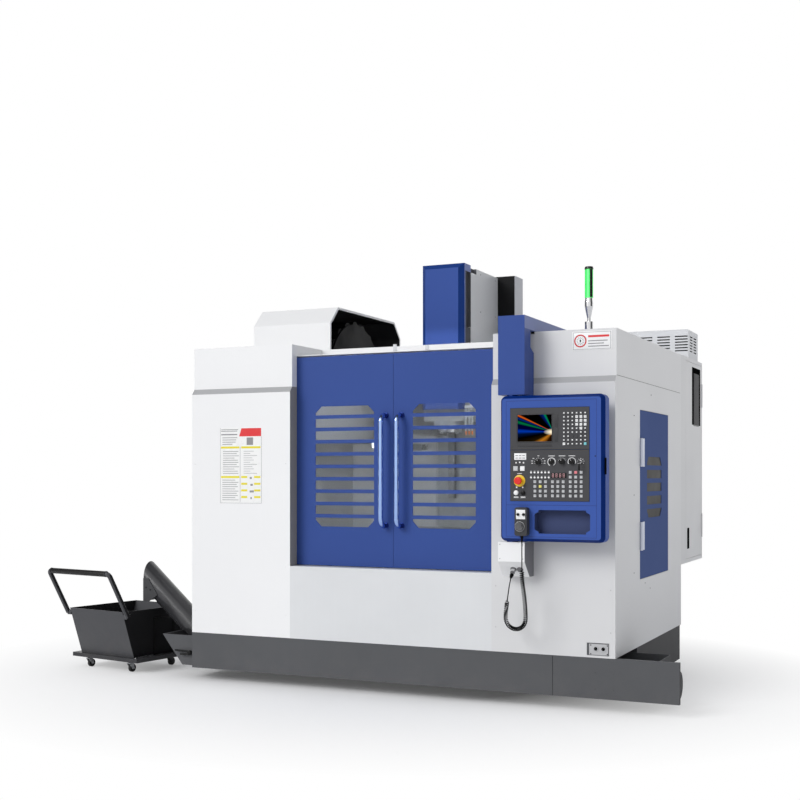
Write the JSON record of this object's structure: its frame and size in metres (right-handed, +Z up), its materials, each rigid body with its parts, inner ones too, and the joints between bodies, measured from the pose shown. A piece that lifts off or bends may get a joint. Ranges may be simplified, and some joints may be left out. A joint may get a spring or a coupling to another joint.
{
  "type": "cnc machining center",
  "caption": "Vertical machining centre with sliding doors, three axes, tool changer, swivelling operator panel, chip conveyor and a chip cart on casters",
  "frame": {"origin": "centre of the footprint's bounding box, on the floor", "axes": "+Z up, +X to the operator's right, +Y to the machine's rear"},
  "size_m": [3.9599, 2.5414, 2.54],
  "materials": {
    "white_paint": "semi-gloss",
    "blue_paint": "semi-gloss",
    "grey_paint": "semi-gloss",
    "dark_paint": "satin",
    "black_paint": "satin",
    "casting_paint": "painted casting",
    "ground_iron": "ground",
    "bright_steel": "brushed",
    "stainless": "brushed",
    "chrome": "polished",
    "galvanised": "matt zinc",
    "window": "clear safety glass",
    "screen_plastic": "fine texture",
    "pendant_plastic": "fine texture",
    "dial_plastic": "gloss",
    "red_plastic": "gloss",
    "lens_plastic": "clear green",
    "lamp_plastic": "matt",
    "cord_rubber": "matt",
    "plug_metal": "matt",
    "wheel_rubber": "matt",
    "magazine_steel": "dark"
  },
  "bodies": {
    "machine": {"base_casting": "casting_paint", "column": "casting_paint", "linear_rails": "bright_steel", "column_cover": "grey_paint", "levelling_feet": "dark_paint", "coolant_tanks": "dark_paint", "front_skirt": "dark_paint", "chip_trough": "dark_paint", "conveyor_tube": "dark_paint", "conveyor_gearmotor": "dark_paint", "left_cabinet": "white_paint", "right_cabinet": "white_paint", "front_lower_panel": "white_paint", "roof_frame": "white_paint", "chip_pan": "stainless", "splash_guard": "stainless", "tool_hood": "white_paint", "magazine_bracket": "casting_paint", "electrical_cabinet": "grey_paint", "transformer_box": "grey_paint", "panel_arm": "blue_paint", "socket_box": "white_paint", "cord_curl": "cord_rubber", "cord_tail": "cord_rubber", "cord_plug": "plug_metal", "lamp_stem": "lamp_plastic", "lamp_lens": "lens_plastic"},
    "auger": {"auger": "bright_steel"},
    "door_left": {"door_left": "blue_paint", "door_left_glass": "window", "door_left_handle": "chrome"},
    "door_right": {"door_right": "blue_paint", "door_right_glass": "window", "door_right_handle": "chrome"},
    "saddle": {"saddle": "casting_paint"},
    "table": {"table": "ground_iron"},
    "head": {"headstock": "casting_paint", "head_front_cover": "blue_paint", "head_side_cover": "grey_paint"},
    "spindle": {"spindle": "bright_steel"},
    "magazine": {"tool_magazine": "magazine_steel"},
    "tool_arm": {"tool_arm": "bright_steel"},
    "side_door": {"side_door": "blue_paint", "side_door_glass": "window"},
    "cabinet_door": {"cabinet_door": "grey_paint"},
    "panel": {"panel_housing": "blue_paint", "display_unit": "screen_plastic", "key_panel": "screen_plastic", "pendant": "pendant_plastic", "cord_drop": "cord_rubber"},
    "emergency_stop": {"emergency_stop": "red_plastic"},
    "pendant_dial": {"pendant_dial": "dial_plastic"},
    "cart": {"cart_tray": "dark_paint", "cart_bin": "dark_paint"},
    "caster_left": {"caster_fork_left": "galvanised"},
    "caster_right": {"caster_fork_right": "galvanised"},
    "wheel_front_left": {"wheel_front_left": "wheel_rubber"},
    "wheel_front_right": {"wheel_front_right": "wheel_rubber"},
    "wheel_rear_left": {"wheel_rear_left": "wheel_rubber"},
    "wheel_rear_right": {"wheel_rear_right": "wheel_rubber"}
  },
  "joints": [
    {"name": "door_left_slide", "type": "slide", "parent": "machine", "child": "door_left", "axis": [-1, 0, 0], "range_m": [0, 0.55]},
    {"name": "door_right_slide", "type": "slide", "parent": "machine", "child": "door_right", "axis": [1, 0, 0], "range_m": [0, 0.55]},
    {"name": "saddle_y", "type": "slide", "parent": "machine", "child": "saddle", "axis": [0, 1, 0], "range_m": [-0.25, 0.25]},
    {"name": "table_x", "type": "slide", "parent": "saddle", "child": "table", "axis": [1, 0, 0], "range_m": [-0.4, 0.4]},
    {"name": "head_z", "type": "slide", "parent": "machine", "child": "head", "axis": [0, 0, 1], "range_m": [-0.5, 0]},
    {"name": "spindle_turn", "type": "hinge", "parent": "head", "child": "spindle", "pos_m": [0.351, -0.10635, 1.53], "axis": [0, 0, 1], "continuous": true},
    {"name": "magazine_turn", "type": "hinge", "parent": "machine", "child": "magazine", "pos_m": [-0.313, -0.10635, 1.85], "axis": [1, 0, 0], "continuous": true},
    {"name": "tool_arm_turn", "type": "hinge", "parent": "machine", "child": "tool_arm", "pos_m": [0.021, -0.10635, 1.4], "axis": [0, 0, 1], "range_deg": [0, 270]},
    {"name": "auger_turn", "type": "hinge", "parent": "machine", "child": "auger", "pos_m": [0.351, -0.72635, 0.124], "axis": [1, 0, 0], "continuous": true},
    {"name": "side_door_hinge", "type": "hinge", "parent": "machine", "child": "side_door", "pos_m": [1.658, -0.49035, 0.9], "axis": [0, 0, -1], "range_deg": [0, 110]},
    {"name": "cabinet_door_hinge", "type": "hinge", "parent": "machine", "child": "cabinet_door", "pos_m": [1.655, 1.24565, 0.9], "axis": [0, 0, 1], "range_deg": [0, 110]},
    {"name": "panel_swivel", "type": "hinge", "parent": "machine", "child": "panel", "pos_m": [1.134, -1.14235, 1.3], "axis": [0, 0, -1], "range_deg": [0, 90]},
    {"name": "emergency_stop_push", "type": "slide", "parent": "panel", "child": "emergency_stop", "axis": [0, 1, 0], "range_m": [0, 0.004]},
    {"name": "pendant_dial_turn", "type": "hinge", "parent": "panel", "child": "pendant_dial", "pos_m": [1.21014, -1.25135, 0.97], "axis": [0, -1, 0], "continuous": true},
    {"name": "cart_roll", "type": "slide", "parent": "machine", "child": "cart", "axis": [-0.1736, -0.9848, 0], "range_m": [0, 0.6]},
    {"name": "caster_left_swivel", "type": "hinge", "parent": "cart", "child": "caster_left", "pos_m": [-1.83866, -0.88112, 0.06], "axis": [0, 0, 1], "continuous": true},
    {"name": "caster_right_swivel", "type": "hinge", "parent": "cart", "child": "caster_right", "pos_m": [-1.46837, -0.94641, 0.06], "axis": [0, 0, 1], "continuous": true},
    {"name": "wheel_front_left_roll", "type": "hinge", "parent": "caster_left", "child": "wheel_front_left", "pos_m": [-1.83554, -0.86339, 0.025], "axis": [0.9848, -0.1736, 0], "continuous": true},
    {"name": "wheel_rear_left_roll", "type": "hinge", "parent": "cart", "child": "wheel_rear_left", "pos_m": [-1.7765, -0.52856, 0.025], "axis": [0.9848, -0.1736, 0], "continuous": true},
    {"name": "wheel_front_right_roll", "type": "hinge", "parent": "caster_right", "child": "wheel_front_right", "pos_m": [-1.46525, -0.92869, 0.025], "axis": [0.9848, -0.1736, 0], "continuous": true},
    {"name": "wheel_rear_right_roll", "type": "hinge", "parent": "cart", "child": "wheel_rear_right", "pos_m": [-1.40621, -0.59385, 0.025], "axis": [0.9848, -0.1736, 0], "continuous": true}
  ]
}
